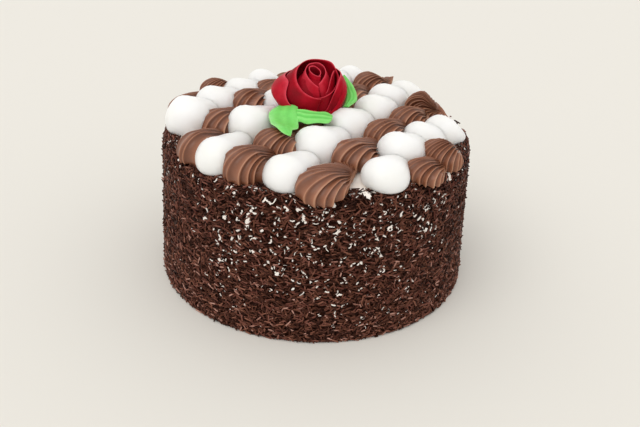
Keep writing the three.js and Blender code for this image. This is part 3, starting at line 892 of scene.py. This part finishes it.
def shell_outline(shell):
    """Points round a shell's plan, from its tail along one side, round its head and back"""
    radius, tail = shell["radius"], shell["tail"]
    leave = math.acos(radius / tail)
    turn = np.linspace(leave, 2 * math.pi - leave, OUTLINE_HEAD_POINTS)
    head = np.stack([radius * np.cos(turn), radius * np.sin(turn)], -1)
    side = np.linspace(0, 1, OUTLINE_SIDE_STEPS + 1)[:-1, None]
    tip = np.array([[tail, 0.0]])
    back = mix(head[-1:], tip, side + 1 / OUTLINE_SIDE_STEPS)
    return np.concatenate([mix(tip, head[:1], side), head, back])


def shell_top_grid(shell, random):
    """Points of a shell's upper surface in rays from the place where its ridges meet, and their tones of
    painted light and shade
    """
    radius, tail, rays = shell["radius"], shell["tail"], shell["rays"]
    along, aside = RIDGE_MEETS.get(shell["name"], RIDGES_MEET)
    meet = np.array([along * tail, aside * radius])
    outline = shell_outline(shell)
    gone = np.concatenate([[0], np.cumsum(np.hypot(*np.diff(outline, axis=0).T))])
    share = np.arange(rays) / rays
    step = np.sin(np.linspace(0, math.pi / 2, SHELL_STEPS + 1))[1:]
    twisted = (share[:, None] + RIDGE_TWIST * (1 - step) ** RIDGE_TWIST_POWER) % 1.0
    rim_x, rim_y = (np.interp(twisted, gone / gone[-1], outline[:, axis]) for axis in (0, 1))
    x = mix(meet[0], rim_x, step)
    y = mix(meet[1], rim_y, step)
    points = np.stack([x, y, dome_height(shell, x, y)], -1)
    crest, within = crest_profile(share, random)
    spine = SPINE_FOLLOWS * np.clip(x, 0, SPINE_REACH * tail)
    away = points - np.stack([spine, 0 * x, 0 * x + SPINE_HEIGHT * shell["height"]], -1)
    away /= np.linalg.norm(away, axis=-1)[..., None]
    left = np.clip(0.5 + RIDGE_LEFT * rim_y / radius, 0, 1)
    stand = shell["ridge"] * mix(*RIDGE_DEPTHS, left) * (crest[:, None] - RIDGE_LEVEL) * step**RIDGE_GROWTH
    tones = painted_ridge_light(crest[:, None], within[:, None], left, step)
    return meet, points + away * stand[..., None], tones


# Painted light and shade on the ridges: a painted highlight on each crest and painted shade in the groove
# after it
def painted_ridge_light(crest, within, left, step):
    line = np.clip(crest, 0, 1) ** CREST_HIGHLIGHT_LINE
    tones = mix(GROOVE_PAINTED_SHADE * within, 1, line)
    return mix(tones, LIT_LEFT_TONE, LIT_LEFT_EVENED * left) * mix(MEET_PAINTED_SHADE, 1, np.sqrt(step))


def shell_mesh(shell, seed):
    """Mesh of a shell along its own axes: its upper surface, its rounded foot and a flat underside"""
    meet, grid, grid_tones = shell_top_grid(shell, np.random.default_rng(seed))
    rays, steps = grid.shape[:2]
    crown = [meet[0], meet[1], float(dome_height(shell, meet[:1], meet[1:])[0])]
    loops = [grid[:, step] for step in range(steps)]
    tones = [grid_tones[:, step] for step in range(steps)]
    for bend in FOOT_BENDS:
        inward = mix(FOOT_SHARE, 1, math.cos(bend))
        loops.append(grid[:, -1] * [inward, inward, 1 - math.sin(bend)])
        tones.append(grid_tones[:, -1])
    faces = [(0, 1 + ray, 1 + (ray + 1) % rays) for ray in range(rays)]
    faces += loop_faces(len(loops), rays, 1)
    faces.append(list(range(1 + (len(loops) - 1) * rays, 1 + len(loops) * rays)))
    return np.concatenate([[crown], *loops]), faces, np.concatenate([[MEET_PAINTED_SHADE], *tones])


def place_shell(shell, points, seed):
    """From the shell's own axes to the top of the cake, uneven as piping is, and sagging over the rim"""
    uneven = 1 + SHELL_UNEVEN * ripples(points + SHELL_UNEVEN_APART * seed, seed, SHELL_UNEVEN_LENGTH)
    x, y, z = points[:, 0] * uneven, points[:, 1] * uneven, points[:, 2] * uneven
    cosine, sine = math.cos(shell["heading"]), math.sin(shell["heading"])
    placed_x = shell["x"] + x * cosine - y * sine
    placed_y = shell["y"] + x * sine + y * cosine
    past = np.clip((np.hypot(placed_x, placed_y) - SAG_FROM_RADIUS) / SAG_REACH, 0, 1)
    return np.stack([placed_x, placed_y, RIM_HEIGHT + SHELL_GAP + z - SAG_DEPTH * past**2], -1)


def make_shells(shells, white, chocolate):
    for seed, shell in enumerate(shells):
        points, faces, tones = shell_mesh(shell, seed)
        kind = "white" if shell["white"] else "chocolate"
        make_piece(
            f"piped_{kind}_{shell['name']}",
            place_shell(shell, points, seed),
            faces,
            [white if shell["white"] else chocolate],
            [f"{kind}_shell_{shell['name']}"],
            tones,
        )


# Rose


def petal_top(petal, across):
    """Height of a petal's rim, which falls away from its peak to both ends"""
    quarter = math.pi / 2 * petal.get("sweep", 1)
    fall = (np.sin(quarter * np.abs(across)) / math.sin(quarter)) ** petal.get("power", 2)
    return petal["peak"] - petal["drop"] * fall


def petal_section():
    """Height share and turn over the rim of points round a petal's section, up outside and down inside"""
    rows = len(PETAL_CLIMB)
    up = np.concatenate([PETAL_CLIMB, np.ones(len(PETAL_RIM_TURNS)), PETAL_CLIMB[::-1]])
    lean = np.concatenate([np.zeros(rows), PETAL_RIM_TURNS, np.full(rows, math.pi)])
    return up, lean


def petal_waver(petal, angle, seed):
    """Uneven values round a petal, smaller in a tightly wound one"""
    circle = np.stack([np.cos(angle), np.sin(angle), 0 * angle], -1)
    waver = ripples(WAVER_RADIUS * circle, seed, WAVER_LENGTH)
    return waver * min(1, petal.get("rim", WAVER_FULL_RADIUS) / WAVER_FULL_RADIUS)


def petal_mesh(petal, seed):
    columns = max(PETAL_LEAST_COLUMNS, round(petal["span"] * PETAL_COLUMNS_PER_DEGREE))
    up, lean = petal_section()
    across, up = np.meshgrid(np.linspace(-1, 1, columns), up, indexing="ij")
    angle = np.radians(petal["azimuth"] + petal["span"] * across)
    waver = petal_waver(petal, angle, seed)
    height = mix(petal["foot"], petal_top(petal, across) + WAVER_RIM * waver, up)
    middle, axis_x, axis_y = petal_middle(petal, across, up, height, angle)
    middle = middle + PETAL_CURL * up**PETAL_CURL_POWER + WAVER_SIDE * waver * up
    thinned = 1 - PETAL_END_THINNED * np.abs(across) ** PETAL_END_POWER
    half = mix(PETAL_ROOT_THICKNESS, PETAL_RIM_THICKNESS, up) / 2 * thinned
    radius = middle + half * np.cos(lean)
    height = height + half * np.sin(lean)
    points = np.stack([axis_x + radius * np.cos(angle), axis_y + radius * np.sin(angle), height], -1)
    return points.reshape(-1, 3), capped_faces(*points.shape[:2]), petal_painted_light(petal, up, lean, waver)


# Painted light: lighter higher up the petal, a painted highlight along the rim and painted shade inside the
# bud
def petal_painted_light(petal, up, lean, waver):
    edge = np.clip((up - PETAL_EDGE_FROM) / PETAL_EDGE_REACH, 0, 1) ** PETAL_EDGE_POWER
    tones = mix(*petal["tones"], up**PETAL_LIGHT_RISE) + PETAL_TONE_WAVER * waver + PETAL_RIM_HIGHLIGHT * edge
    inside = (lean > PETAL_INSIDE_TURN) & (up < PETAL_INSIDE_TOP)
    tones = np.where(inside, tones * petal.get("inside", 1), tones)
    return np.clip(tones, 0, 1).ravel()


def petal_middle(petal, across, up, height, angle):
    """Radius of a petal's middle and the place of the axis it winds round"""
    if "bulge" not in petal:
        axis = [mix(root, rim, up) for root, rim in zip(petal["root_at"], petal["rim_at"])]
        return petal_radius(petal, across, up, angle), *axis
    turn = (np.degrees(angle) - CUP_PETAL["azimuth"] + 180) % 360 - 180
    cup_across = turn / CUP_PETAL["span"]
    cup_top = petal_top(CUP_PETAL, cup_across)
    cup_up = np.clip((height - CUP_PETAL["foot"]) / (cup_top - CUP_PETAL["foot"]), 0, 1)
    radius, axis_x, axis_y = petal_middle(CUP_PETAL, cup_across, cup_up, height, angle)
    belly = petal["bulge"] * np.sin(math.pi * up**BELLY_RISE) * (1 - across**BELLY_ENDS)
    return radius + petal["stand"] + belly, axis_x, axis_y


def petal_radius(petal, across, up, angle):
    """Distance of a wound petal's middle from its axis, bowed out between its root and its rim"""
    front = np.clip(np.cos(angle - BOW_FRONT_AT), 0, 1) ** 2
    bow = petal.get("bow", 0) + petal.get("bow_left", 0) * np.cos(angle - BOW_LEFT_AT)
    bow = bow + petal.get("bow_front", 0) * front
    swirl = petal.get("swirl", PETAL_SWIRL) * across
    return mix(petal["root"], petal["rim"], up) + bow * np.sin(math.pi * up**BOW_RISE) + swirl


def stump_mesh():
    points = ring_points(STUMP_PROFILE, STUMP_COLUMNS)
    return points, capped_faces(len(STUMP_PROFILE), STUMP_COLUMNS), np.full(len(points), STUMP_TONE)


def make_rose(red):
    petals = [*WOUND_PETALS, CUP_PETAL]
    petals += [dict(zip(OUTER_FIELDS, values)) for values in OUTER_PETALS]
    meshes = [stump_mesh()] + [petal_mesh(petal, seed) for seed, petal in enumerate(petals)]
    faces = []
    start = 0
    for own_points, own_faces, _ in meshes:
        faces += [[corner + start for corner in face] for face in own_faces]
        start += len(own_points)
    points, _, tones = zip(*meshes)
    placed = np.concatenate(points) + np.array([*ROSE_CENTRE, RIM_HEIGHT])
    make_piece("piped_rose", placed, faces, [red], ["rose"], np.concatenate(tones))


# Leaves


def shell_top(shells, x, y):
    """Highest point of the shells over the rim at places in plan, which the leaves rest on"""
    top = np.zeros_like(x)
    for shell in shells:
        cosine, sine = math.cos(shell["heading"]), math.sin(shell["heading"])
        along = (x - shell["x"]) * cosine + (y - shell["y"]) * sine
        aside = (y - shell["y"]) * cosine - (x - shell["x"]) * sine
        inside = (along < shell["tail"]) & (np.abs(aside) <= half_width(shell, along))
        height = SHELL_GAP + dome_height(shell, along, aside) + shell["ridge"]
        top = np.where(inside, np.maximum(top, height), top)
    return top


def spline(places, share):
    """Points along a smooth curve through places, at shares of 0 to 1"""
    places = np.array(places, float)
    knots = np.concatenate([[2 * places[0] - places[1]], places, [2 * places[-1] - places[-2]]])
    spans = len(places) - 1
    step = np.clip((share * spans).astype(int), 0, spans - 1)
    t = (share * spans - step)[:, None]
    before, start, end, after = (knots[step + number] for number in range(4))
    square = 2 * before - 5 * start + 4 * end - after
    cube = 3 * start - before - 3 * end + after
    return start + ((end - before) * t + square * t**2 + cube * t**3) / 2


def evened(heights):
    """Heights of a grid with its sudden steps smoothed away"""
    for _ in range(LEAF_EVENED):
        padded = np.pad(heights, 1, mode="edge")
        heights = (padded[:-2, 1:-1] + padded[2:, 1:-1] + padded[1:-1, :-2] + padded[1:-1, 2:]) / 4
    return heights


def draped(heights, lowest):
    """Heights eased up where they come near the lowest ones or would lie under them"""
    apart = heights - lowest
    return lowest + (apart + np.sqrt(apart**2 + LEAF_DRAPE**2)) / 2


def leaf_middle(leaf, up, across):
    """Points of a leaf half way through it, from edge to edge, and which way its upper face looks"""
    left, right = (spline(leaf[edge], up[:, 0])[:, None] for edge in ("left", "right"))
    centre = mix(left, right, (across[..., None] + 1) / 2)
    normal = np.cross(np.broadcast_to(right - left, centre.shape), np.gradient(centre, axis=0))
    return centre, normal / np.linalg.norm(normal, axis=-1)[..., None]


def leaf_mesh(leaf, shells):
    lengthwise = np.linspace(-LEAF_TUCK, 1, LEAF_CELLS[0])
    crosswise = np.linspace(-1, 1, LEAF_CELLS[1])
    up, across = np.meshgrid(lengthwise, crosswise, indexing="ij")
    centre, normal = leaf_middle(leaf, up, across)
    ribs = leaf["ribs"] * np.cos(across * math.pi * LEAF_RIB_COUNT)
    belly = (1 - across**2) * (1 - up**2)
    wave = LEAF_BELLY * belly + leaf["ruffle"] * np.sin(LEAF_RUFFLES * up) * across**2
    wave = wave + LEAF_RIB_RELIEF * ribs * (1 - up)
    centre = centre + normal * wave[..., None]
    lowest = evened(shell_top(shells, centre[..., 0], centre[..., 1])) + LEAF_REST + LEAF_THICKNESS / 2
    centre[..., 2] = draped(centre[..., 2], lowest)
    half = LEAF_THICKNESS / 2 * np.sqrt(np.clip(1 - LEAF_SIDE_THINNED * across**4, LEAF_THINNEST, 1))
    half = half * (1 - LEAF_TIP_THINNED * up**6)
    upper = centre + normal * half[..., None]
    lower = centre - normal * (half + LEAF_KEEL * belly)[..., None]
    rest = shell_top(shells, lower[..., 0], lower[..., 1]) + LEAF_REST / 2
    lower[..., 2] = np.maximum(lower[..., 2], np.minimum(rest, centre[..., 2] - half))
    points = np.concatenate([upper, lower[:, ::-1]], axis=1) + np.array([0, 0, RIM_HEIGHT])
    # Painted light: light and shade along the ribs, and a painted highlight at the edges
    tone = LEAF_TONE + LEAF_RIB_PAINTED_LIGHT * ribs + LEAF_EDGE_HIGHLIGHT * np.abs(across) ** LEAF_EDGE_POWER
    tone = np.clip(tone, 0, 1)
    tones = np.concatenate([tone, tone[:, ::-1]], axis=1)
    return points.reshape(-1, 3), capped_faces(*points.shape[:2]), tones.ravel()


def make_leaves(shells, green):
    for leaf in LEAVES:
        points, faces, tones = leaf_mesh(leaf, shells)
        node = f"leaf_{leaf['name']}"
        make_piece(f"piped_{node}", points, faces, [green], [node], tones)


# Floor, light and camera


def make_floor():
    mesh = bpy.data.meshes.new("floor")
    reach = FLOOR_REACH
    corners = [(-reach, -reach), (reach, -reach), (reach, reach), (-reach, reach)]
    mesh.from_pydata([(x, y, FLOOR_HEIGHT) for x, y in corners], [], [(0, 1, 2, 3)])
    floor = bpy.data.objects.new("floor", mesh)
    bpy.context.scene.collection.objects.link(floor)
    material, shader = new_material("floor", FLOOR_SPECULAR)
    shader.inputs["Roughness"].default_value = FLOOR_ROUGHNESS
    shader.inputs["Base Color"].default_value = linear(*FLOOR_COLOUR)
    mesh.materials.append(material)


def make_light():
    world = bpy.data.worlds.new("studio")
    world.use_nodes = True
    background = world.node_tree.nodes["Background"]
    background.inputs["Color"].default_value = SKY_COLOUR
    background.inputs["Strength"].default_value = SKY_STRENGTH
    bpy.context.scene.world = world
    key = bpy.data.lights.new("key", "SUN")
    key.energy = KEY_STRENGTH
    key.angle = KEY_SPREAD
    key.color = KEY_COLOUR
    lamp = bpy.data.objects.new("key", key)
    lamp.rotation_euler = KEY_AIM.to_track_quat("-Z", "Y").to_euler()
    bpy.context.scene.collection.objects.link(lamp)
    bpy.context.scene.view_settings.view_transform = "Standard"


def make_camera():
    back = np.array([0, -math.cos(CAMERA_ELEVATION), math.sin(CAMERA_ELEVATION)])
    eye = CAMERA_TARGET + CAMERA_DISTANCE * back
    right = np.array([1.0, 0.0, 0.0])
    down = np.cross(-back, right)
    cosine, sine = math.cos(CAMERA_ROLL), math.sin(CAMERA_ROLL)
    rolled_right = cosine * right + sine * down
    rolled_down = cosine * down - sine * right
    axes = np.stack([rolled_right, -rolled_down, back], axis=1)
    camera = bpy.data.cameras.new("camera")
    camera.lens = CAMERA_LENS
    camera.sensor_width = CAMERA_SENSOR
    camera.clip_start = CAMERA_NEAREST
    holder = bpy.data.objects.new("camera", camera)
    holder.matrix_world = Matrix.Translation(Vector(eye * MILLIMETRE)) @ Matrix(axes.tolist()).to_4x4()
    bpy.context.scene.collection.objects.link(holder)
    bpy.context.scene.camera = holder


def make_cake():
    random = np.random.default_rng(SPRINKLE_SEED)
    spots = bare_spots(random)
    plan = sprinkle_plan(random)
    keep = off_bare_spots(plan, spots)
    plan = {key: values[keep] for key, values in plan.items()}
    materials = {name: surface(name, look) for name, look in LOOKS.items()}
    make_icing(materials["packed_sprinkles_painted_shade"], materials["thin_icing"])
    make_bare_icing(spots, random, materials["thin_icing"])
    make_sprinkles(plan)
    shells = plan_shells()
    make_shells(shells, materials["white_buttercream"], materials["chocolate_buttercream"])
    make_rose(materials["red_buttercream"])
    make_leaves(shells, materials["green_buttercream"])


make_camera()
make_light()
make_floor()
make_cake()
